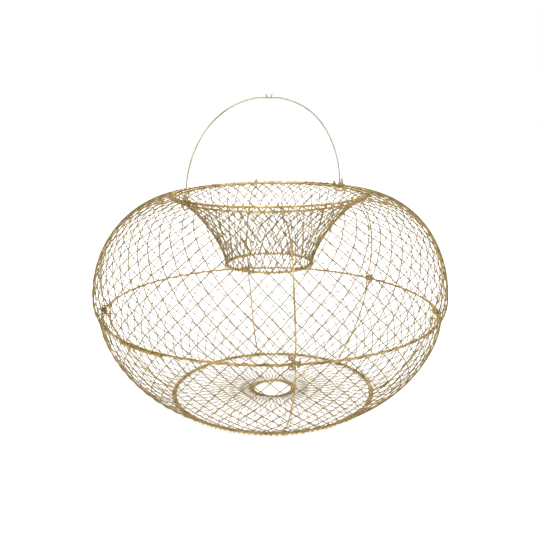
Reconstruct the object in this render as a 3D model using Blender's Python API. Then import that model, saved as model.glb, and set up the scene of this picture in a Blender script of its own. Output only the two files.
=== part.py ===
"""Folding crab trap: wire rings, hinged struts, a diamond-wire net body, a funnel mouth and a bail.

The rings lie level, one above the other, round the Z axis, and the trap stands on its bottom ring
at z = 0. The bail's ends are on the X axis. The struts turn about short radial pegs at the middle
ring: they stand up and down from it to hold the trap open, and lie level for it to fold flat.
"""

import math

import bmesh
import bpy

MM = 0.001

# Wire radii.
RING_WIRE = 1.65 * MM
THROAT_WIRE = 1.5 * MM
EYE_WIRE = 1.2 * MM
STRUT_WIRE = 1.4 * MM
PEG_WIRE = 1.1 * MM
HANDLE_WIRE = 1.0 * MM
NET_THICKNESS = 1.0 * MM

# Ring radii, to the centre of the wire.
MIDDLE_R = 200.0 * MM
TOP_R = 112.4 * MM
BOTTOM_R = 121.8 * MM
THROAT_R = 50.8 * MM
EYE_R = 24.6 * MM

# Heights. A six-sided ring stands on a flat side, so its centre is one apothem up.
BOTTOM_Z = RING_WIRE * math.sin(math.radians(60))
MIDDLE_Z = BOTTOM_Z + 108.6 * MM
TOP_Z = MIDDLE_Z + 135.6 * MM
RIM_Z = TOP_Z - 4.6 * MM
THROAT_Z = MIDDLE_Z + 52.4 * MM
HANDLE_RISE = 103.0 * MM  # from the bail's axis to its apex
HANDLE_AXIS_Z = TOP_Z + 6.0 * MM

# Struts: the angles round the trap, and the feet on their pegs.
STRUT_ANGLES = (-122, -49, 6, 62, 146)
PEG_R = 194.0 * MM
PEG_OFFSET_Z = 5.0 * MM  # above the middle ring for the upper strut, below it for the lower one
STRUT_EYE_R = 3.0 * MM
UPPER_TIP_R = TOP_R + RING_WIRE + 0.45 * MM
UPPER_TIP_DROP = 8.2 * MM  # the strut's end is this far under the top ring's centre
LOWER_TIP_R = 126.0 * MM
LOWER_TIP_Z = MIDDLE_Z - 101.5 * MM
UPPER_POWER = 2.2
LOWER_POWER = 1.3

# Net body: each half is part of a Lame curve, as (centre radius, centre height over the middle
# ring, half width, half height, power), in shares of the middle ring's radius.
UPPER_NET = (0.50, 0.10, 0.545, 0.585, 2.0)
LOWER_NET = (0.45, 0.02, 0.570, 0.600, 1.7)
UPPER_NET_SPAN = (-6.4, 79.0)  # degrees along the curve
LOWER_NET_SPAN = (7.5, 68.0)
FUNNEL_POWER = 1.5
FUNNEL_SPAN = (4.0, 78.0)
FLOOR_CLEARANCE = 0.9 * MM

WIRE_COLOUR = (0.52, 0.40, 0.20)
NET_COLOUR = (0.48, 0.38, 0.21)
STRUT_COLOUR = (0.55, 0.43, 0.23)
HANDLE_COLOUR = (0.46, 0.37, 0.22)


def clear_scene():
    for obj in list(bpy.data.objects):
        bpy.data.objects.remove(obj, do_unlink=True)


def paint(obj, colour, roughness):
    """Gives the object its own brass-plated wire material."""
    material = bpy.data.materials.new(obj.name + "_finish")
    material.use_nodes = True
    shader = material.node_tree.nodes["Principled BSDF"]
    shader.inputs["Base Color"].default_value = (*colour, 1.0)
    shader.inputs["Metallic"].default_value = 0.9
    shader.inputs["Roughness"].default_value = roughness
    obj.data.materials.append(material)


def add_object(name, data):
    obj = bpy.data.objects.new(name, data)
    bpy.context.scene.collection.objects.link(obj)
    return obj


def wire(name, points, radius, colour, closed=False):
    """A six-sided round wire through the points, with filled ends."""
    curve = bpy.data.curves.new(name, "CURVE")
    curve.dimensions = "3D"
    curve.bevel_depth = radius
    curve.bevel_resolution = 1
    curve.use_fill_caps = not closed
    spline = curve.splines.new("POLY")
    spline.points.add(len(points) - 1)
    for target, point in zip(spline.points, points):
        target.co = (*point, 1.0)
    spline.use_cyclic_u = closed
    obj = add_object(name, curve)
    paint(obj, colour, 0.38)
    return obj


def ring(name, radius, height, wire_radius, segments):
    """A level wire ring with a flat side underneath."""
    bpy.ops.mesh.primitive_torus_add(
        location=(0, 0, height),
        major_radius=radius,
        minor_radius=wire_radius,
        major_segments=segments,
        minor_segments=6,
    )
    obj = bpy.context.object
    obj.name = name
    obj.data.name = name
    obj.data.shade_smooth()
    paint(obj, WIRE_COLOUR, 0.36)
    return obj


def turned(name, profile, segments, colour):
    """A closed (radius, height) outline turned round the Z axis."""
    mesh = bpy.data.meshes.new(name)
    bm = bmesh.new()
    turns = []
    for step in range(segments):
        angle = math.tau * step / segments
        c, s = math.cos(angle), math.sin(angle)
        turns.append([bm.verts.new((r * c, r * s, z)) for r, z in profile])
    for step, here in enumerate(turns):
        after = turns[(step + 1) % segments]
        for i in range(len(profile)):
            j = (i + 1) % len(profile)
            bm.faces.new((here[i], after[i], after[j], here[j]))
    bmesh.ops.recalc_face_normals(bm, faces=bm.faces)
    bm.to_mesh(mesh)
    bm.free()
    mesh.shade_smooth()
    obj = add_object(name, mesh)
    paint(obj, colour, 0.42)
    return obj


def thickened(line, thickness):
    """The closed outline of a sheet of this thickness along an open (radius, height) line."""
    outer, inner = [], []
    for i, (r, z) in enumerate(line):
        before = line[max(i - 1, 0)]
        after = line[min(i + 1, len(line) - 1)]
        dr, dz = after[0] - before[0], after[1] - before[1]
        length = math.hypot(dr, dz)
        nr, nz = dz / length * thickness / 2, -dr / length * thickness / 2
        outer.append((r + nr, z + nz))
        inner.append((r - nr, z - nz))
    return outer + inner[::-1]


def lame_point(angle, power):
    """(along, up) on the unit Lame curve |x|^power + |y|^power = 1, at an angle in degrees."""
    c, s = math.cos(math.radians(angle)), math.sin(math.radians(angle))
    bend = 2 / power
    return math.copysign(abs(c) ** bend, c), math.copysign(abs(s) ** bend, s)


def net_line(curve, span, count, up):
    """Points (radius, height) along one half of the net body; up is 1 or -1."""
    centre_r, centre_z, half_r, half_z, power = curve
    line = []
    for i in range(count):
        x, y = lame_point(span[0] + (span[1] - span[0]) * i / (count - 1), power)
        r = MIDDLE_R * (centre_r + half_r * x)
        z = MIDDLE_Z + MIDDLE_R * (centre_z + up * half_z * y)
        line.append((r, z))
    return line


def eye_points(radius):
    """An open eye round a radial peg, in the plane across it, ending where the wire leaves it."""
    points = []
    for angle in range(100, 360, 37):
        a = math.radians(angle)
        points.append((0.0, radius * math.cos(a), radius * math.sin(a)))
    return points


def make_rings():
    ring("bottom_ring", BOTTOM_R, BOTTOM_Z, RING_WIRE, 48)
    ring("bottom_eye_ring", EYE_R, BOTTOM_Z, EYE_WIRE, 24)
    ring("middle_ring", MIDDLE_R, MIDDLE_Z, RING_WIRE, 48)
    ring("top_ring", TOP_R, TOP_Z, RING_WIRE, 48)
    ring("rim_ring", TOP_R, RIM_Z, RING_WIRE, 48)
    ring("throat_ring", THROAT_R, THROAT_Z, THROAT_WIRE, 32)


def make_nets():
    upper = net_line(UPPER_NET, UPPER_NET_SPAN, 9, 1)
    turned("upper_net", thickened(upper, NET_THICKNESS), 36, NET_COLOUR)
    lower = net_line(LOWER_NET, LOWER_NET_SPAN, 7, -1)
    turned("lower_net", thickened(lower, NET_THICKNESS), 36, NET_COLOUR)

    funnel = []
    for i in range(6):
        x, y = lame_point(FUNNEL_SPAN[0] + (FUNNEL_SPAN[1] - FUNNEL_SPAN[0]) * i / 5, FUNNEL_POWER)
        funnel.append((TOP_R - (TOP_R - THROAT_R) * x, THROAT_Z + (RIM_Z - THROAT_Z) * y))
    turned("funnel_net", thickened(funnel, NET_THICKNESS), 28, NET_COLOUR)

    hole = EYE_R + EYE_WIRE + FLOOR_CLEARANCE
    edge = BOTTOM_R - RING_WIRE - FLOOR_CLEARANCE
    floor = [(hole, BOTTOM_Z), (edge, BOTTOM_Z)]
    turned("floor_net", thickened(floor, NET_THICKNESS), 36, NET_COLOUR)


def strut_points(rise, span, power, up):
    """A strut from the eye at its foot to its tip, drawn about its peg; up is 1 or -1."""
    points = [(x, y, up * z) for x, y, z in eye_points(STRUT_EYE_R)]
    steps = 11
    for i in range(steps + 1):
        x, y = lame_point(90 * i / steps, power)
        points.append((-span * (1 - x), STRUT_EYE_R, up * rise * y))
    return points


def make_struts():
    upper_rise = TOP_Z - UPPER_TIP_DROP - MIDDLE_Z - PEG_OFFSET_Z
    lower_rise = MIDDLE_Z - PEG_OFFSET_Z - LOWER_TIP_Z
    upper = strut_points(upper_rise, PEG_R - UPPER_TIP_R, UPPER_POWER, 1)
    lower = strut_points(lower_rise, PEG_R - LOWER_TIP_R, LOWER_POWER, -1)
    for number, degrees in enumerate(STRUT_ANGLES, 1):
        angle = math.radians(degrees)
        for kind, points, offset in (
            ("upper", upper, PEG_OFFSET_Z),
            ("lower", lower, -PEG_OFFSET_Z),
        ):
            obj = wire(f"{kind}_strut_{number}", points, STRUT_WIRE, STRUT_COLOUR)
            obj.location = (PEG_R * math.cos(angle), PEG_R * math.sin(angle), MIDDLE_Z + offset)
            obj.rotation_euler.z = angle


def make_hinge_staples():
    """Each staple wraps the middle ring from outside, and its two legs are the struts' pegs."""
    back = MIDDLE_R + RING_WIRE + 0.4 * MM + PEG_WIRE
    tip = PEG_R - 3.5 * MM
    corner = 1.6 * MM
    leg = PEG_OFFSET_Z
    points = [
        (tip, 0, leg),
        (back - corner, 0, leg),
        (back, 0, leg - corner),
        (back, 0, -leg + corner),
        (back - corner, 0, -leg),
        (tip, 0, -leg),
    ]
    for number, degrees in enumerate(STRUT_ANGLES, 1):
        obj = wire(f"hinge_staple_{number}", points, PEG_WIRE, STRUT_COLOUR)
        obj.location = (0, 0, MIDDLE_Z)
        obj.rotation_euler.z = math.radians(degrees)


def make_bail_loops():
    """A tall loop round the top ring and the rim ring; its upper bar is the bail's pivot."""
    side = RING_WIRE + 0.5 * MM + HANDLE_WIRE
    top = HANDLE_AXIS_Z - TOP_Z
    bottom = RIM_Z - TOP_Z - RING_WIRE - 0.45 * MM - HANDLE_WIRE
    corner = 1.0 * MM
    points = [
        (-side, 0, bottom + corner),
        (-side, 0, top - corner),
        (-side + corner, 0, top),
        (side - corner, 0, top),
        (side, 0, top - corner),
        (side, 0, bottom + corner),
        (side - corner, 0, bottom),
        (-side + corner, 0, bottom),
    ]
    for name, x in (("bail_loop_left", -TOP_R), ("bail_loop_right", TOP_R)):
        obj = wire(name, points, HANDLE_WIRE, HANDLE_COLOUR, closed=True)
        obj.location = (x, 0, TOP_Z)


def make_handle():
    """Two arcs, each from an eye on a bail loop past the apex to a tip that turns up."""
    eye = 2.6 * MM
    apart = 1.2 * MM  # each arc lies this far off the middle plane at the apex
    steps = 14
    points = eye_points(eye)
    for i in range(steps + 1):
        share = i / steps
        angle = math.radians(90 * share)
        y = eye + (apart - eye) * share
        points.append((-TOP_R * (1 - math.cos(angle)), y, HANDLE_RISE * math.sin(angle)))
    points.append((-TOP_R - 3.2 * MM, apart, HANDLE_RISE + 0.2 * MM))
    points.append((-TOP_R - 4.6 * MM, apart, HANDLE_RISE + 1.4 * MM))
    points.append((-TOP_R - 5.2 * MM, apart, HANDLE_RISE + 4.2 * MM))
    for name, x, turn in (("handle_left", -TOP_R, math.pi), ("handle_right", TOP_R, 0.0)):
        obj = wire(name, points, HANDLE_WIRE, HANDLE_COLOUR)
        obj.location = (x, 0, HANDLE_AXIS_Z)
        obj.rotation_euler.z = turn


clear_scene()
make_rings()
make_nets()
make_struts()
make_hinge_staples()
make_bail_loops()
make_handle()
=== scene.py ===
"""Looks of the folding crab trap: round wires, diamond-woven nets, lacing, coils and knots in
brass-plated steel, on a pale floor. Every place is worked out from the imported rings."""

import math

import bpy
import numpy as np
from mathutils import Matrix, Vector


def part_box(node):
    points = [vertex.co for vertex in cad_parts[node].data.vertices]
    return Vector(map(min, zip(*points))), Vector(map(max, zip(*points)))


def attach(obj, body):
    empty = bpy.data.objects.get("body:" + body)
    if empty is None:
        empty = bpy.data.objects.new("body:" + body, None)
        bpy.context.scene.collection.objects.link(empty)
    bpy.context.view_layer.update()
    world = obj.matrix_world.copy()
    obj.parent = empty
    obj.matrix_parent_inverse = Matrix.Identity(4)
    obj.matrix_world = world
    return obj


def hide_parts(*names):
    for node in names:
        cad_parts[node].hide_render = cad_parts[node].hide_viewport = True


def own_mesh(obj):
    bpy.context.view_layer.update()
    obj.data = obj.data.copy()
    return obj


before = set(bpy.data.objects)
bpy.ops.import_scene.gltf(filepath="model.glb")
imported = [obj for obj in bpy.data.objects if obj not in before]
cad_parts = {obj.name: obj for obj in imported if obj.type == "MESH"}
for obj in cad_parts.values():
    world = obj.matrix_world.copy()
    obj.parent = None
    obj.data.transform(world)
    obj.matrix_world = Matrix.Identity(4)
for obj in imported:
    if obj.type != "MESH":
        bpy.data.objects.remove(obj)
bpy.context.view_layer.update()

MM = 0.001
UP = np.array((0.0, 0.0, 1.0))


# ---------------------------------------------------------------- places, from the frame

def ring_place(node):
    """(radius, height, wire radius) of a CAD ring, which is a six-sided torus."""
    low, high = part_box(node)
    wire = (high.z - low.z) / 2 / math.sin(math.radians(60))
    return (high.x - low.x) / 2 - wire, (high.z + low.z) / 2, wire


MIDDLE_R, MIDDLE_Z, RING_WIRE = ring_place("middle_ring")
TOP_R, TOP_Z, _ = ring_place("top_ring")
RIM_Z = ring_place("rim_ring")[1]
BOTTOM_R, BOTTOM_Z, _ = ring_place("bottom_ring")
THROAT_R, THROAT_Z, _ = ring_place("throat_ring")
EYE_R, EYE_Z, EYE_WIRE = ring_place("bottom_eye_ring")

# Struts and bail, placed as in the CAD model.
STRUT_ANGLES = (-122, -49, 6, 62, 146)
PEG_R = 194.0 * MM
PEG_OFFSET_Z = 5.0 * MM  # above the middle ring for the upper strut, below it for the lower one
PEG_REACH = 3.5 * MM  # how far a peg passes its strut's eye
STRUT_EYE_R = 3.0 * MM
UPPER_TIP_R = TOP_R + RING_WIRE + 0.45 * MM
UPPER_TIP_Z = TOP_Z - 8.2 * MM
LOWER_TIP_R = 126.0 * MM
LOWER_TIP_Z = MIDDLE_Z - 101.5 * MM
HANDLE_AXIS_Z = TOP_Z + 6.0 * MM
HANDLE_RISE = 103.0 * MM
HANDLE_EYE_R = 2.6 * MM

# Wire radii.
ROUND_WIRE = 1.2 * MM  # the big rings, which are rounder and thinner than in CAD
BOTTOM_WIRE = 1.35 * MM
THROAT_ROUND_WIRE = 1.0 * MM
EYE_ROUND_WIRE = 0.9 * MM
STRUT_WIRE = 0.9 * MM
PEG_WIRE = 0.8 * MM
HANDLE_WIRE = 0.65 * MM
KNOT_WIRE = 0.65 * MM
HINGE_COIL_WIRE = 0.6 * MM
NET_WIRE = 0.48 * MM
FUNNEL_NET_WIRE = 0.52 * MM
FLOOR_NET_WIRE = 0.36 * MM
LACE_WIRE = 0.36 * MM
BINDING_WIRE = 0.45 * MM

# How the struts are bent: the power of each curve, and how far it leans, swells and wavers.
UPPER_STRUT_POWER, UPPER_STRUT_BELLY = 2.3, 11.0 * MM
LOWER_STRUT_POWER, LOWER_STRUT_BELLY = 1.3, 1.5 * MM
STRUT_SLANT = -3.0 * MM
STRUT_WAVER = 1.1 * MM
STRUT_STEPS = 28

# How the bail is bent. Its left foot sits a little outside its ring, and its left arc bellies out.
LEFT_FOOT_OUTSIDE = 2.0 * MM
LEFT_ARC_BELLY = 1.6 * MM
ARC_WAVER = 0.7 * MM
ARC_STEPS = 40
APEX_DIP = 1.2 * MM
HANDLE_NUDGE = 0.8 * MM  # how far the arcs' meeting lies to the right of the middle
ARCS_APART = 1.2 * MM

# Net outlines, as shares of the middle ring's radius. The upper one is part of an ellipse and the
# lower one of a flatter Lame curve, and both draw in to the ring over a short waist.
UPPER_CENTRE_R, UPPER_CENTRE_Z = 0.50, 0.10
UPPER_HALF_R, UPPER_HALF_Z = 0.545, 0.585
UPPER_END = math.radians(82.1)
UPPER_WAIST = 0.0225
LOWER_CENTRE_R, LOWER_CENTRE_Z = 0.45, 0.02
LOWER_HALF_R, LOWER_HALF_Z = 0.57, 0.60
LOWER_END = math.radians(69.06)
LOWER_POWER = 1.7
LOWER_WAIST = 0.0054
WAIST_REACH = 0.10
FUNNEL_POWER = 1.36
OUTLINE_POINTS = 160

# Weave. Each net has this many cells round it.
CELLS = 66  # the upper and the lower net
FUNNEL_CELLS = 44
FLOOR_CELLS = 58
CELL_SIDE = 13.8 * MM
MOST_ROWS = 60
BEND_JITTER = 0.3 * MM
CROSSING_GAP = 0.43 * MM  # how far a crossing wire stands off the surface
HOOK = 0.35 * MM  # how far each bend hooks over its neighbour's
NEAR_BEND = 0.05  # share of a leg where the wire has left its bend

# Hand-bent rings: the middle one is pressed in and down a little on one side, and the rim ring
# hangs under the top ring in front but lies just inside it at the back.
PRESS_IN, PRESS_IN_AT, PRESS_IN_HALF = 9.0 * MM, math.radians(15), math.radians(110)
PRESS_DOWN, PRESS_DOWN_AT, PRESS_DOWN_HALF = 4.0 * MM, math.radians(-22), math.radians(75)
RIM_TUCK_IN = 3.4 * MM
RIM_TUCK_UP = 3.7 * MM
THROAT_ASIDE = 2.4 * MM  # how far the throat hangs to the left of the middle

# The middle ring's two ends lie side by side over this stretch, in degrees, with these ties.
LAP_FROM, LAP_TO = -178, -160
LAP_TIES = (-177, -173, -168.5, -164, -160.5)

# Floor, camera and lights. The camera looks at the trap's front from this angle round it.
FLOOR_Z = -1.5 * MM  # just under the lacing below the bottom ring
VIEW_TURN = math.radians(-37.5)
CAMERA_DISTANCE = 812.4 * MM
CAMERA_RISE = 240.0 * MM  # over the middle ring
CAMERA_PITCH = math.radians(13.62)
CAMERA_ROLL = math.radians(-0.70)
CAMERA_LENS = 46.5
CAMERA_SHIFT = -0.0022
LIGHTS_AIM = Vector((0, 0, 0.15))


# ---------------------------------------------------------------- materials

def link(tree, a, out, b, into):
    tree.links.new(a.outputs[out], b.inputs[into])


def noise(tree, where, scale, detail):
    """A noise texture in the piece's own coordinates."""
    node = tree.nodes.new("ShaderNodeTexNoise")
    node.inputs["Scale"].default_value = scale
    node.inputs["Detail"].default_value = detail
    link(tree, where, "Object", node, "Vector")
    return node


def plated_wire(name, dark, body, bright, rough=(0.30, 0.52), metal=0.8):
    """Brass-plated steel: blotchy plating, painted shade where the wires cross and wind, fine drawing marks.
    """
    mat = bpy.data.materials.new(name)
    mat.use_nodes = True
    tree = mat.node_tree
    shader = tree.nodes["Principled BSDF"]
    shader.inputs["Metallic"].default_value = metal
    where = tree.nodes.new("ShaderNodeTexCoord")

    blotch = noise(tree, where, 55.0, 5.0)
    blotch.inputs["Roughness"].default_value = 0.62
    tone = tree.nodes.new("ShaderNodeValToRGB")
    tone.color_ramp.elements[0].position = 0.32
    tone.color_ramp.elements[0].color = (*dark, 1)
    tone.color_ramp.elements[1].position = 0.70
    tone.color_ramp.elements[1].color = (*bright, 1)
    middle = tone.color_ramp.elements.new(0.50)
    middle.color = (*body, 1)
    link(tree, blotch, "Fac", tone, "Fac")

    # Painted shade: the plating is drawn darker where the wires cross and wind round each other, in fine
    # spots.
    painted_shade = tree.nodes.new("ShaderNodeAttribute")
    painted_shade.attribute_name = "painted_shade"
    spots = noise(tree, where, 420.0, 3.0)
    shade_depth = tree.nodes.new("ShaderNodeMath")
    shade_depth.operation = "MULTIPLY"
    link(tree, painted_shade, "Fac", shade_depth, 0)
    link(tree, spots, "Fac", shade_depth, 1)
    shaded_tone = tree.nodes.new("ShaderNodeMix")
    shaded_tone.data_type = "RGBA"
    link(tree, shade_depth, "Value", shaded_tone, "Factor")
    link(tree, tone, "Color", shaded_tone, "A")
    # The colour of the painted shade: the tarnish colour made much darker.
    shaded_tone.inputs["B"].default_value = (dark[0] * 0.35, dark[1] * 0.33, dark[2] * 0.30, 1)
    link(tree, shaded_tone, "Result", shader, "Base Color")

    shine = tree.nodes.new("ShaderNodeMapRange")
    shine.inputs["To Min"].default_value = rough[0]
    shine.inputs["To Max"].default_value = rough[1]
    link(tree, spots, "Fac", shine, "Value")
    link(tree, shine, "Result", shader, "Roughness")

    marks = noise(tree, where, 900.0, 2.0)
    bump_marks = tree.nodes.new("ShaderNodeBump")
    bump_marks.inputs["Strength"].default_value = 0.25
    bump_marks.inputs["Distance"].default_value = 0.0002
    link(tree, marks, "Fac", bump_marks, "Height")
    link(tree, bump_marks, "Normal", shader, "Normal")
    return mat


# Each metal's colour where it is tarnished, plain and bright. The net is old and dull.
RING_METAL = plated_wire("ring_metal", (0.24, 0.145, 0.042), (0.52, 0.36, 0.13), (0.74, 0.56, 0.26))
NET_METAL = plated_wire("net_metal", (0.15, 0.104, 0.035), (0.285, 0.208, 0.074), (0.41, 0.305, 0.118),
                        rough=(0.60, 0.85), metal=0.15)
STRUT_METAL = plated_wire("strut_metal", (0.25, 0.155, 0.046), (0.54, 0.385, 0.15), (0.74, 0.57, 0.28))
LACE_METAL = plated_wire("lace_metal", (0.22, 0.14, 0.045), (0.50, 0.355, 0.14), (0.72, 0.55, 0.27))
HANDLE_METAL = plated_wire("handle_metal", (0.20, 0.15, 0.07), (0.40, 0.315, 0.175), (0.58, 0.48, 0.31))
KNOT_METAL = plated_wire("knot_metal", (0.16, 0.105, 0.036), (0.47, 0.335, 0.135), (0.70, 0.52, 0.25))


# ---------------------------------------------------------------- wires

def unit(v):
    return v / np.maximum(np.linalg.norm(v, axis=-1, keepdims=True), 1e-12)


def hump(angle, middle, half):
    """A smooth hump round the trap: 1 at its middle, 0 beyond its half-width."""
    off = np.abs((angle - middle + math.pi) % math.tau - math.pi)
    return np.cos(np.clip(off / half, 0, 1) * math.pi / 2) ** 2


def pressed(points):
    """Points moved with the middle ring's dent, which fades out towards the end rings."""
    x, y, z = points.T
    angle = np.arctan2(y, x)
    r = np.hypot(x, y)
    reach = np.where(z > MIDDLE_Z, TOP_Z - MIDDLE_Z, MIDDLE_Z - BOTTOM_Z)
    level = np.clip(1 - np.abs(z - MIDDLE_Z) / reach, 0, 1)
    outer = np.clip((r - 0.55 * MIDDLE_R) / (0.35 * MIDDLE_R), 0, 1)
    share = level**2 * (3 - 2 * level) * outer
    r = r - PRESS_IN * share * hump(angle, PRESS_IN_AT, PRESS_IN_HALF)
    z = z - PRESS_DOWN * share * hump(angle, PRESS_DOWN_AT, PRESS_DOWN_HALF)
    return np.stack([r * np.cos(angle), r * np.sin(angle), z], 1)


def tucked(points):
    """Points of the funnel moved with its rim ring at the top and with its throat ring at the bottom."""
    x, y, z = points.T
    angle = np.arctan2(y, x)
    level = np.clip((z - THROAT_Z) / (RIM_Z - THROAT_Z), 0, 1)
    share = level * back_share(angle)
    r = np.hypot(x, y) - RIM_TUCK_IN * share
    aside = THROAT_ASIDE * (1 - level)
    x = r * np.cos(angle) - aside * math.cos(VIEW_TURN)
    y = r * np.sin(angle) - aside * math.sin(VIEW_TURN)
    return np.stack([x, y, z + RIM_TUCK_UP * share], 1)


def back_share(angle):
    """0 on the side that faces the camera, 1 opposite it."""
    return (1 - np.cos(angle - VIEW_TURN + math.pi / 2)) / 2


def sweep(name, runs, radius, metal, sides=8, closed=False, bend=pressed):
    """One mesh of round wires. A run is (points, outward directions, painted shade), each along it."""
    verts, faces, painted_shades = [], [], []
    turn = np.linspace(0, math.tau, sides, endpoint=False)
    base = 0
    for points, outward, painted_shade in runs:
        points = bend(np.asarray(points, float))
        count = len(points)
        if closed:
            along = unit(np.roll(points, -1, 0) - np.roll(points, 1, 0))
        else:
            along = unit(np.gradient(points, axis=0))
        out = np.broadcast_to(np.asarray(outward, float), points.shape)
        out = unit(out - (out * along).sum(1, keepdims=True) * along)
        side = np.cross(along, out)
        around = np.cos(turn)[None, :, None] * out[:, None] + np.sin(turn)[None, :, None] * side[:, None]
        verts.append((points[:, None] + radius * around).reshape(-1, 3))
        painted_shades.append(np.repeat(np.broadcast_to(np.asarray(painted_shade, float), (count,)), sides))
        i = np.arange(count if closed else count - 1)[:, None]
        j = np.arange(sides)[None, :]
        after = (i + 1) % count
        beside = (j + 1) % sides
        corners = [i * sides + j, i * sides + beside, after * sides + beside, after * sides + j]
        quads = np.stack(corners, -1)
        faces += (quads.reshape(-1, 4) + base).tolist()
        if not closed:
            faces.append([base + k for k in range(sides)][::-1])
            faces.append([base + (count - 1) * sides + k for k in range(sides)])
        base += count * sides
    mesh = bpy.data.meshes.new(name)
    mesh.from_pydata(np.concatenate(verts).tolist(), [], faces)
    mesh.update()
    mesh.shade_smooth()
    # Each point's painted shade, how much darker its wire is drawn there.
    shade = mesh.attributes.new("painted_shade", "FLOAT", "POINT")
    shade.data.foreach_set("value", np.concatenate(painted_shades).astype(np.float32))
    mesh.materials.append(metal)
    obj = bpy.data.objects.new(name, mesh)
    bpy.context.scene.collection.objects.link(obj)
    return obj


def smooth(points, per_leg=6):
    """A Catmull-Rom curve through the points."""
    p = np.asarray(points, float)
    p = np.vstack([2 * p[0] - p[1], p, 2 * p[-1] - p[-2]])
    t = np.linspace(0, 1, per_leg, endpoint=False)[:, None]
    out = []
    for a, b, c, d in zip(p, p[1:], p[2:], p[3:]):
        square = (2 * a - 5 * b + 4 * c - d) * t**2
        cube = (3 * b - a - 3 * c + d) * t**3
        out.append(0.5 * (2 * b + (c - a) * t + square + cube))
    return np.vstack(out + [p[-2:-1]])


def lame_point(angle, power):
    """A point of a Lame curve of half-width and half-height 1."""
    c, s = math.cos(angle), math.sin(angle)
    return math.copysign(abs(c) ** (2 / power), c), math.copysign(abs(s) ** (2 / power), s)


def spun(local, degrees, centre=(0, 0, 0)):
    """Points given as (out from the axis, round it, up), turned to an angle and moved."""
    a = math.radians(degrees)
    local = np.asarray(local, float)
    x = local[:, 0] * math.cos(a) - local[:, 1] * math.sin(a)
    y = local[:, 0] * math.sin(a) + local[:, 1] * math.cos(a)
    return np.stack([x, y, local[:, 2]], 1) + np.asarray(centre, float)


def radial(degrees):
    """The level direction away from the trap's axis at an angle."""
    return np.array((math.cos(math.radians(degrees)), math.sin(math.radians(degrees)), 0.0))


def tangent(degrees):
    """The level direction round the trap at an angle."""
    return np.array((-math.sin(math.radians(degrees)), math.cos(math.radians(degrees)), 0.0))


def turned_over(count, start, length, before, after):
    """Directions for a line's points: one before the start, another after it, blended over a length."""
    share = np.clip((np.arange(count) - start) / length, 0, 1)[:, None]
    return before * (1 - share) + after * share


def wobble(angle, seed, size):
    """A smooth small unevenness round a ring, the same every run."""
    rng = np.random.default_rng(seed)
    total = np.zeros_like(angle)
    for waves in (2, 3, 5, 8, 13):
        total += rng.uniform(-1, 1) / waves * np.sin(waves * angle + rng.uniform(0, math.tau))
    return size * total


def ring_line(radius, height, seed, uneven, count=240):
    angle = np.linspace(0, math.tau, count, endpoint=False)
    r = radius + wobble(angle, seed, uneven)
    z = height + wobble(angle, seed + 50, uneven * 0.5)
    return np.stack([r * np.cos(angle), r * np.sin(angle), z], 1)


def make_ring(node, body, seed, uneven=0.8 * MM, wire=ROUND_WIRE, bend=pressed):
    radius, height, _ = ring_place(node)
    line = ring_line(radius, height, seed, uneven)
    piece = sweep(node + "_wire", [(line, UP, 0.15)], wire, RING_METAL, sides=12, closed=True, bend=bend)
    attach(piece, body)
    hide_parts(node)


def coil_points(radius, height, degrees, wind, pitch, turns, shift=0.0, start=0.0, squash=1.0):
    """A coil wound round a level ring at an angle: wind is its radius, shift how far round it sits."""
    steps = max(int(turns * 14), 2)
    s = np.linspace(0, turns, steps)
    a = math.tau * s + start
    along = shift + (s - turns / 2) * pitch
    local = np.stack([radius + wind * np.cos(a), along, height + wind * squash * np.sin(a)], 1)
    # The ring curves away from the straight line that the coil would follow.
    local[:, 0] -= along**2 / (2 * radius)
    outward = np.stack([np.cos(a), np.zeros_like(a), np.sin(a)], 1)
    return spun(local, degrees), spun(outward, degrees)


# ---------------------------------------------------------------- nets

def waist(z, depth):
    """How far a net draws in as it comes to the middle ring, z from it as a share of its radius."""
    return depth * np.clip(1 - np.abs(z) / WAIST_REACH, 0, 1) ** 2


def dense_upper():
    """(radius, height) from the middle ring over the shoulder to the top ring."""
    first = math.asin(-UPPER_CENTRE_Z / UPPER_HALF_Z)
    u = np.linspace(first, UPPER_END, OUTLINE_POINTS)
    r = UPPER_CENTRE_R + UPPER_HALF_R * np.cos(u)
    z = UPPER_CENTRE_Z + UPPER_HALF_Z * np.sin(u)
    r = r - waist(z, UPPER_WAIST)
    return MIDDLE_R * r, MIDDLE_Z + MIDDLE_R * z


def dense_lower():
    """(radius, height) from the middle ring down to the bottom ring."""
    first = math.asin((LOWER_CENTRE_Z / LOWER_HALF_Z) ** (LOWER_POWER / 2))
    u = np.linspace(first, LOWER_END, OUTLINE_POINTS)
    r = LOWER_CENTRE_R + LOWER_HALF_R * np.cos(u) ** (2 / LOWER_POWER)
    z = LOWER_CENTRE_Z - LOWER_HALF_Z * np.sin(u) ** (2 / LOWER_POWER)
    r = r - waist(z, LOWER_WAIST)
    return MIDDLE_R * r, MIDDLE_Z + MIDDLE_R * z


def dense_funnel():
    """(radius, height) from inside the rim ring down to the throat ring."""
    u = np.linspace(math.radians(86.0), math.radians(1.0), OUTLINE_POINTS)
    x = np.cos(u) ** (2 / FUNNEL_POWER)
    y = np.sin(u) ** (2 / FUNNEL_POWER)
    return TOP_R - (TOP_R - THROAT_R) * x, THROAT_Z + (RIM_Z - THROAT_Z) * y


def dense_floor():
    """(radius, height) from inside the bottom ring to the eye ring, a little raised in between."""
    r = np.linspace(BOTTOM_R - RING_WIRE - 0.6 * MM, EYE_R + EYE_WIRE + 0.3 * MM, OUTLINE_POINTS)
    lift = np.sin(np.linspace(0, math.pi, OUTLINE_POINTS)) * 0.5 * MM
    return r, BOTTOM_Z + 0.2 * MM + lift


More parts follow.
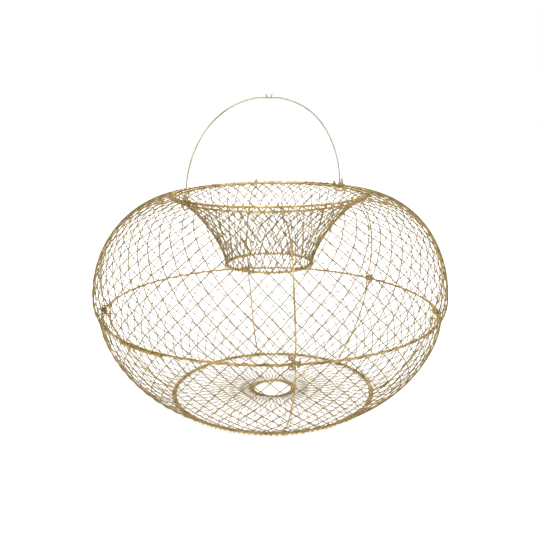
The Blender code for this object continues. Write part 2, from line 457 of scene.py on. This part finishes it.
def levels_along(radius, height, cells):
    """Arc lengths along an outline, and those of its rows of bends, for diamonds of one constant side."""
    length = np.concatenate([[0], np.cumsum(np.hypot(np.diff(radius), np.diff(height)))])

    def march(side, rows):
        found = [0.0]
        for _ in range(rows):
            half = math.pi * np.interp(found[-1], length, radius) / cells
            found.append(found[-1] + math.sqrt(max(side**2 - half**2, (0.3 * side) ** 2)))
        return np.array(found)

    # The row count comes from the nominal side, and the side is then fitted to fill the outline.
    rows = int(np.argmin(np.abs(march(CELL_SIDE, MOST_ROWS) - length[-1])))
    low, high = 0.7 * CELL_SIDE, 1.5 * CELL_SIDE
    for _ in range(50):
        side = (low + high) / 2
        if march(side, rows)[-1] > length[-1]:
            high = side
        else:
            low = side
    levels = march(high, rows)
    return length, levels * length[-1] / levels[-1]


def weave(name, outline, cells, seed, phase=0, wire=NET_WIRE, bend=pressed, outer=1):
    """Zigzag wires, each hooked over the next one's bends, on a turned surface. Outer is 1 where an
    outline that goes up has its outside on the right, and -1 for one that goes down."""
    radius, height = outline
    length, levels = levels_along(radius, height, cells)
    last = len(levels) - 1
    columns = 2 * cells
    rng = np.random.default_rng(seed)
    around_jitter = rng.normal(0, BEND_JITTER, (len(levels), columns))
    along_jitter = rng.normal(0, BEND_JITTER, (len(levels), columns))
    around_jitter[[0, -1]] *= 0.3
    along_jitter[[0, -1]] = 0
    slope_r = np.gradient(radius, length)
    slope_z = np.gradient(height, length)
    k = np.arange(columns)
    runs = []
    for row in range(last):
        first_bends = (k + row + phase) % 2 == 0  # the bends on the row's first level
        level = np.where(first_bends, row, row + 1)
        s = levels[level] + along_jitter[level, k] + np.where(first_bends, -HOOK, HOOK)
        if row == 0:
            s = np.where(first_bends, s + HOOK, s)
        if row == last - 1:
            s = np.where(first_bends, s, s - HOOK)
        local_r = np.interp(levels[level], length, radius)
        theta = math.pi * k / cells + around_jitter[level, k] / local_r
        s_next, theta_next = np.roll(s, -1), np.roll(theta, -1)
        theta_next[-1] += math.tau
        front = np.where(k % 2 == 0, 1.0, -1.0) * (1 if row % 2 == 0 else -1)

        # Each leg has four points: its bend, just past it, its middle, and just before the next bend.
        shares = (0.0, NEAR_BEND, 0.5, 1 - NEAR_BEND)
        s_all = np.stack([s + (s_next - s) * share for share in shares], 1).ravel()
        t_all = np.stack([theta + (theta_next - theta) * share for share in shares], 1).ravel()
        f_all = np.stack([weight * front for weight in (0.0, 0.8, 1.0, 0.8)], 1).ravel()
        # Painted shade, darkest at the bends where the wires hook over each other and none mid-leg.
        shade = np.tile((0.4, 0.25, 0.0, 0.25), columns)

        s_all = np.clip(s_all, 0, length[-1])
        r = np.interp(s_all, length, radius)
        z = np.interp(s_all, length, height)
        dr = np.interp(s_all, length, slope_r)
        dz = np.interp(s_all, length, slope_z)
        size = np.hypot(dr, dz)
        normal_r, normal_z = outer * dz / size, -outer * dr / size
        r = r + normal_r * f_all * CROSSING_GAP
        z = z + normal_z * f_all * CROSSING_GAP
        points = np.stack([r * np.cos(t_all), r * np.sin(t_all), z], 1)
        outward = np.stack([normal_r * np.cos(t_all), normal_r * np.sin(t_all), normal_z], 1)
        runs.append((points, outward, shade))
    return sweep(name, runs, wire, NET_METAL, sides=6, closed=True, bend=bend)


def fold(piece):
    """Gives a net its own copy of its mesh data."""
    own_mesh(piece)


def make_nets():
    upper = weave("upper_net_weave", dense_upper(), CELLS, 11)
    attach(upper, "middle")
    fold(upper)
    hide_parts("upper_net")

    lower = weave("lower_net_weave", dense_lower(), CELLS, 12, phase=1, outer=-1)
    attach(lower, "base")
    fold(lower)
    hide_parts("lower_net")

    funnel = weave("funnel_net_weave", dense_funnel(), FUNNEL_CELLS, 13, wire=FUNNEL_NET_WIRE, bend=tucked)
    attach(funnel, "top")
    fold(funnel)
    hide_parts("funnel_net")

    floor = weave("floor_net_weave", dense_floor(), FLOOR_CELLS, 14, phase=1, wire=FLOOR_NET_WIRE)
    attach(floor, "base")
    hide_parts("floor_net")


# ---------------------------------------------------------------- rings and their lacing

def lacing(name, body, radius, height, wind, turns, seed, drop=0.0, wire=LACE_WIRE, loose=0.2, bend=pressed):
    """Thin wire wound round a ring all the way. A drop makes each turn a tall loop that takes in
    a second ring underneath."""
    rng = np.random.default_rng(seed)
    per_turn = 10
    s = np.arange(turns * per_turn) / per_turn
    whole = np.arange(turns + 1)
    uneven = np.interp(s, whole, np.append(rng.normal(0, 0.16, turns), 0))
    around = math.tau * (s + uneven) / turns
    a = math.tau * s
    swell = wind * (1 + np.interp(s, whole, rng.uniform(0, loose, turns + 1)))
    low = 0.5 - 0.5 * np.sin(a)
    back = back_share(around) if drop else 0
    r = radius + swell * np.cos(a) - RIM_TUCK_IN * back * low
    z = height + swell * np.sin(a) - (drop - RIM_TUCK_UP * back) * low
    points = np.stack([r * np.cos(around), r * np.sin(around), z], 1)
    outward = np.stack([np.cos(a) * np.cos(around), np.cos(a) * np.sin(around), np.sin(a)], 1)
    piece = sweep(name, [(points, outward, 0.45)], wire, LACE_METAL, sides=6, closed=True, bend=bend)
    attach(piece, body)


def make_rings():
    make_ring("bottom_ring", "base", 1, wire=BOTTOM_WIRE)
    make_ring("bottom_eye_ring", "base", 2, uneven=0.4 * MM, wire=EYE_ROUND_WIRE)
    make_ring("middle_ring", "middle", 3, uneven=0.9 * MM)
    make_ring("top_ring", "top", 4)
    make_ring("rim_ring", "top", 5, bend=tucked)
    make_ring("throat_ring", "throat", 6, uneven=0.5 * MM, wire=THROAT_ROUND_WIRE, bend=tucked)


def make_lacing():
    snug = ROUND_WIRE + LACE_WIRE
    drop = TOP_Z - RIM_Z
    lacing("bottom_lacing", "base", BOTTOM_R, BOTTOM_Z, snug + 0.3 * MM, 132, 21, wire=0.52 * MM, loose=0.45)
    lacing("middle_lacing", "middle", MIDDLE_R, MIDDLE_Z, snug, 66, 22)
    lacing("top_lacing", "top", TOP_R, TOP_Z, snug, 66, 23, drop=drop)
    lacing("throat_lacing", "throat", THROAT_R, THROAT_Z, snug + 0.1 * MM, 66, 24, wire=0.5 * MM, bend=tucked)
    lacing("eye_lacing", "base", EYE_R, EYE_Z, snug - 0.1 * MM, 58, 25, wire=0.42 * MM)


def make_ring_lap():
    """Where the middle ring's two ends lie side by side, bound with a few turns."""
    angle = np.linspace(math.radians(LAP_FROM), math.radians(LAP_TO), 60)
    r = MIDDLE_R + 2 * ROUND_WIRE + wobble(angle * 6, 8, 0.4 * MM)
    z = MIDDLE_Z - 0.6 * MM + wobble(angle * 6, 9, 0.5 * MM)
    line = np.stack([r * np.cos(angle), r * np.sin(angle), z], 1)
    lap = sweep("middle_ring_lap", [(line, UP, 0.2)], ROUND_WIRE, RING_METAL, sides=10)
    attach(lap, "middle")

    between_r = MIDDLE_R + ROUND_WIRE
    between_z = MIDDLE_Z - 0.3 * MM
    runs = []
    for degrees in LAP_TIES:
        points, outward = coil_points(between_r, between_z, degrees, 2.7 * MM, 1.1 * MM, 3.2, squash=0.75)
        runs.append((points, outward, 0.4))
    binding = sweep("middle_ring_binding", runs, BINDING_WIRE, LACE_METAL, sides=7)
    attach(binding, "middle")


# ---------------------------------------------------------------- struts, hinges and hooks

def eye_arc(radius, up):
    """The points of an eye that a strut or an arc turns on, from its open end round to its leg."""
    a = np.radians(np.linspace(100, 360, 15))
    return np.stack([0 * a, radius * np.cos(a), up * radius * np.sin(a)], 1)


def strut_line(rise, span, power, up, seed, belly):
    """One half of a strut from its eye to its end, as (out from the trap's axis, round it, up)."""
    line = [tuple(p) for p in eye_arc(STRUT_EYE_R, up)]
    rng = np.random.default_rng(seed)
    bends = rng.uniform(-1, 1, 2) * STRUT_WAVER
    for i in range(1, STRUT_STEPS + 1):
        share = i / STRUT_STEPS
        x, y = lame_point(math.radians(90 * share), power)
        lean = bends[0] * math.sin(math.pi * share) + bends[1] * math.sin(math.tau * share)
        swell = belly * math.sin(math.pi * math.sqrt(share))
        line.append((-span * (1 - x) + swell, STRUT_EYE_R + lean + STRUT_SLANT * share, up * rise * y))
    return line


def upper_strut_line(number):
    """An upper half, whose end stands up outside both top rings and turns in over them."""
    rise = UPPER_TIP_Z - MIDDLE_Z - PEG_OFFSET_Z
    span = PEG_R - UPPER_TIP_R
    over = TOP_Z + ROUND_WIRE + STRUT_WIRE + 1.0 * MM - MIDDLE_Z - PEG_OFFSET_Z
    line = strut_line(rise, span, UPPER_STRUT_POWER, 1, 30 + number, UPPER_STRUT_BELLY)[:-2]
    y = line[-1][1]
    return line + [
        (-span + 0.6 * MM, y, rise + 0.8 * MM),
        (-span + 0.1 * MM, y, rise + 3.5 * MM),
        (-span + 0.4 * MM, y, over - 2.5 * MM),
        (-span - 0.6 * MM, y, over - 0.4 * MM),
        (-span - 2.4 * MM, y, over + 0.6 * MM),
        (-span - 3.6 * MM, y, over + 1.8 * MM),
    ]


def lower_strut_line(number):
    """A lower half, whose end reaches just past the bottom ring's height."""
    rise = MIDDLE_Z - PEG_OFFSET_Z - LOWER_TIP_Z
    span = PEG_R - LOWER_TIP_R
    line = strut_line(rise, span, LOWER_STRUT_POWER, -1, 40 + number, LOWER_STRUT_BELLY)
    return line + [(-span - 1.2 * MM, line[-1][1], -rise - 1.6 * MM)]


def make_struts():
    for number, degrees in enumerate(STRUT_ANGLES, 1):
        centre = PEG_R * radial(degrees) + UP * MIDDLE_Z
        upper = ("upper", upper_strut_line(number), PEG_OFFSET_Z)
        lower = ("lower", lower_strut_line(number), -PEG_OFFSET_Z)
        for kind, line, lift in (upper, lower):
            node = f"{kind}_strut_{number}"
            points = spun(smooth(line, 2), degrees, centre + UP * lift)
            outward = turned_over(len(points), 24, 8.0, radial(degrees), tangent(degrees))
            piece = sweep(node + "_wire", [(points, outward, 0.1)], STRUT_WIRE, STRUT_METAL, sides=10)
            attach(piece, node)
            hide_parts(node)


def staple_line():
    """A staple round the middle ring, whose legs are the pegs that the struts turn on."""
    back = MIDDLE_R + RING_WIRE + 0.4 * MM + PEG_WIRE
    tip = PEG_R - PEG_REACH
    leg = PEG_OFFSET_Z
    soft = 2.2 * MM  # where a corner begins
    cut = 0.5 * MM
    upper_half = [(tip, 0, leg), (tip + 4 * MM, 0, leg), (back - soft, 0, leg), (back - cut, 0, leg - cut),
                  (back, 0, leg - soft)]
    lower_half = [(r, 0, -z) for r, _, z in reversed(upper_half)]
    return smooth(upper_half + [(back, 0, 0)] + lower_half, 3)


def hinge_coil_run(degrees, way):
    """One of the two coils that bind a staple to the middle ring, with its cut end standing out."""
    beside_leg = math.degrees(STRUT_EYE_R / MIDDLE_R)
    points, outward = coil_points(MIDDLE_R, MIDDLE_Z, degrees + beside_leg, ROUND_WIRE + 1.0 * MM,
                                  1.3 * MM * way, 2.1, shift=2.3 * MM * way, start=0.8, squash=1.25)
    end = points[-1] + (points[-1] - points[-2]) * 0.8 + outward[-1] * 0.8 * MM
    points = np.vstack([points, end, end + outward[-1] * 1.0 * MM])
    outward = np.vstack([outward, tangent(degrees), tangent(degrees)])
    return points, outward, 0.55


def make_hinges():
    """At each strut's foot, the staple and the coils that bind it."""
    for number, degrees in enumerate(STRUT_ANGLES, 1):
        points = spun(staple_line(), degrees) + UP * MIDDLE_Z
        runs = [(points, tangent(degrees), 0.4)]
        staple = sweep(f"hinge_staple_{number}_wire", runs, PEG_WIRE, KNOT_METAL, sides=10)
        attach(staple, "middle")
        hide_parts(f"hinge_staple_{number}")

        runs = [hinge_coil_run(degrees, way) for way in (-1, 1)]
        coil = sweep(f"hinge_coil_{number}", runs, HINGE_COIL_WIRE, KNOT_METAL, sides=8)
        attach(coil, "middle")


def make_end_coils():
    """Short coils where the struts' ends sit on the bottom ring and the top rings."""
    beside_end = math.degrees((STRUT_EYE_R - 1.0 * MM) / TOP_R)
    for number, degrees in enumerate(STRUT_ANGLES, 1):
        bottom = coil_points(BOTTOM_R, BOTTOM_Z, degrees, ROUND_WIRE + 1.0 * MM, 1.5 * MM, 3.3, start=1.2)
        top = coil_points(TOP_R, TOP_Z, degrees + beside_end, ROUND_WIRE + 0.7 * MM, 1.3 * MM, 1.8,
                          shift=-0.5 * MM)
        for kind, body, (points, outward) in (("bottom", "base", bottom), ("top", "top", top)):
            coil = sweep(f"{kind}_coil_{number}", [(points, outward, 0.4)], KNOT_WIRE, STRUT_METAL, sides=8)
            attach(coil, body)


# ---------------------------------------------------------------- bail

def bail_loop_line():
    """A loop round both top rings, which a foot of the bail turns in."""
    side = RING_WIRE + 0.5 * MM + HANDLE_WIRE
    top = HANDLE_AXIS_Z - TOP_Z
    bottom = RIM_Z - TOP_Z - RING_WIRE - 0.45 * MM - HANDLE_WIRE
    corner = 1.0 * MM
    line = [(-side, 0, bottom + corner), (-side, 0, 0), (-side, 0, top - corner), (-side + corner, 0, top),
            (side - corner, 0, top), (side, 0, top - corner), (side, 0, 0), (side, 0, bottom + corner),
            (side - corner, 0, bottom), (-side + corner, 0, bottom)]
    return smooth(line + line[:1], 3)[:-1]


def bail_arc_line(is_left):
    """One arc of the bail from its eye to the apex, with its end hooked past the other arc's."""
    line = [tuple(p) for p in eye_arc(HANDLE_EYE_R, 1)]
    rng = np.random.default_rng(240 if is_left else 60)
    sway = rng.uniform(-1, 1, 3) * ARC_WAVER
    outside = LEFT_FOOT_OUTSIDE if is_left else 0.0
    belly = LEFT_ARC_BELLY if is_left else 0.0
    nudge = -HANDLE_NUDGE if is_left else HANDLE_NUDGE
    for i in range(1, ARC_STEPS + 1):
        share = i / ARC_STEPS
        a = math.radians(90 * share)
        uneven = sum(w * math.sin((n + 1) * math.pi * share) for n, w in enumerate(sway))
        out = outside * share**2 + belly * math.sin(math.pi * share) + nudge * share**2 - outside * share
        dip = APEX_DIP * max(0.0, 1 - (1 - share) * 12)
        line.append((-TOP_R * (1 - math.cos(a)) + out, HANDLE_EYE_R + (ARCS_APART - HANDLE_EYE_R) * share,
                     HANDLE_RISE * math.sin(a) + uneven - dip))
    x, _, z = line[-1]
    for past, up in ((1.6, 0.4), (3.0, 1.2), (3.8, 2.4), (4.6, 4.4)):
        line.append((x - past * MM, ARCS_APART, z + up * MM))
    return line


def make_bail():
    for name, degrees in (("left", 180), ("right", 0)):
        is_left = name == "left"
        foot_r = TOP_R + (LEFT_FOOT_OUTSIDE if is_left else 0.0)
        centre = foot_r * radial(degrees) + UP * TOP_Z
        across = tangent(0)
        runs = [(spun(bail_loop_line(), degrees, centre), across, 0.15)]
        loop = sweep(f"bail_loop_{name}_wire", runs, HANDLE_WIRE, STRUT_METAL, sides=8, closed=True)
        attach(loop, "top")
        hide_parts(f"bail_loop_{name}")

        runs = []
        for shift in (-2.6 * MM, 2.5 * MM):
            points, outward = coil_points(TOP_R, TOP_Z, degrees, ROUND_WIRE + 0.9 * MM, 1.4 * MM, 2.4,
                                          shift, start=0.6)
            tail = points[-1] + outward[-1] * 1.6 * MM
            runs.append((np.vstack([points, tail]), np.vstack([outward, across]), 0.25))
        knot = sweep(f"bail_knot_{name}", runs, KNOT_WIRE, STRUT_METAL, sides=8)
        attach(knot, "top")

        points = spun(smooth(bail_arc_line(is_left), 3), degrees, centre + UP * (HANDLE_AXIS_Z - TOP_Z))
        outward = turned_over(len(points), 36, 10.0, radial(degrees), tangent(degrees))
        arc = sweep(f"handle_{name}_wire", [(points, outward, 0.05)], HANDLE_WIRE, HANDLE_METAL, sides=10)
        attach(arc, "handle")
        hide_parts(f"handle_{name}")


# ---------------------------------------------------------------- camera, floor and light

def make_camera():
    data = bpy.data.cameras.new("camera")
    data.lens = CAMERA_LENS
    data.sensor_width = 36.0
    data.shift_x = CAMERA_SHIFT
    data.clip_start = 0.01
    camera = bpy.data.objects.new("camera", data)
    bpy.context.scene.collection.objects.link(camera)
    level = Vector((-math.sin(VIEW_TURN), math.cos(VIEW_TURN), 0.0))
    place = -CAMERA_DISTANCE * level + Vector((0, 0, MIDDLE_Z + CAMERA_RISE))
    ahead = level * math.cos(CAMERA_PITCH) - Vector((0, 0, math.sin(CAMERA_PITCH)))
    turn = ahead.to_track_quat("-Z", "Y").to_matrix().to_4x4()
    camera.matrix_world = Matrix.Translation(place) @ turn @ Matrix.Rotation(CAMERA_ROLL, 4, "Z")
    bpy.context.scene.camera = camera


def make_stage():
    bpy.ops.mesh.primitive_plane_add(size=12, location=(0, 0, FLOOR_Z))
    floor = bpy.context.object
    floor.name = "stage_floor"
    mat = bpy.data.materials.new("pale_floor")
    mat.use_nodes = True
    shader = mat.node_tree.nodes["Principled BSDF"]
    shader.inputs["Base Color"].default_value = (0.92, 0.92, 0.92, 1)
    shader.inputs["Roughness"].default_value = 0.9
    shader.inputs["Emission Color"].default_value = (1, 1, 1, 1)
    shader.inputs["Emission Strength"].default_value = 0.45
    floor.data.materials.append(mat)


def area_light(name, place, size, power):
    """A round light that points at the middle of the trap."""
    data = bpy.data.lights.new(name, "AREA")
    data.shape = "DISK"
    data.size = size
    data.energy = power
    light = bpy.data.objects.new(name, data)
    bpy.context.scene.collection.objects.link(light)
    light.location = place
    light.rotation_euler = (LIGHTS_AIM - Vector(place)).to_track_quat("-Z", "Y").to_euler()


def make_world():
    """A white backdrop for the camera, and a sky for the wires that is darker low down."""
    world = bpy.data.worlds.new("studio")
    bpy.context.scene.world = world
    world.use_nodes = True
    tree = world.node_tree
    back = tree.nodes["Background"]
    where = tree.nodes.new("ShaderNodeTexCoord")
    split = tree.nodes.new("ShaderNodeSeparateXYZ")
    link(tree, where, "Generated", split, "Vector")
    ramp = tree.nodes.new("ShaderNodeValToRGB")
    ramp.color_ramp.elements[0].position = 0.0
    ramp.color_ramp.elements[0].color = (0.20, 0.20, 0.20, 1)
    ramp.color_ramp.elements[1].position = 0.85
    ramp.color_ramp.elements[1].color = (0.78, 0.78, 0.78, 1)
    link(tree, split, "Z", ramp, "Fac")
    seen = tree.nodes.new("ShaderNodeLightPath")
    pick = tree.nodes.new("ShaderNodeMix")
    pick.data_type = "RGBA"
    link(tree, seen, "Is Camera Ray", pick, "Factor")
    link(tree, ramp, "Color", pick, "A")
    pick.inputs["B"].default_value = (1, 1, 1, 1)
    link(tree, pick, "Result", back, "Color")
    back.inputs["Strength"].default_value = 1.0


def make_lights():
    bpy.context.scene.view_settings.view_transform = "Standard"
    make_world()
    area_light("key", (-1.6, -1.0, 1.7), 1.0, 30)
    area_light("fill", (0.9, -1.7, 0.9), 1.4, 14)
    area_light("rim", (1.1, 1.5, 1.3), 0.8, 18)


make_camera()
make_rings()
make_lacing()
make_ring_lap()
make_nets()
make_struts()
make_hinges()
make_end_coils()
make_bail()
make_stage()
make_lights()
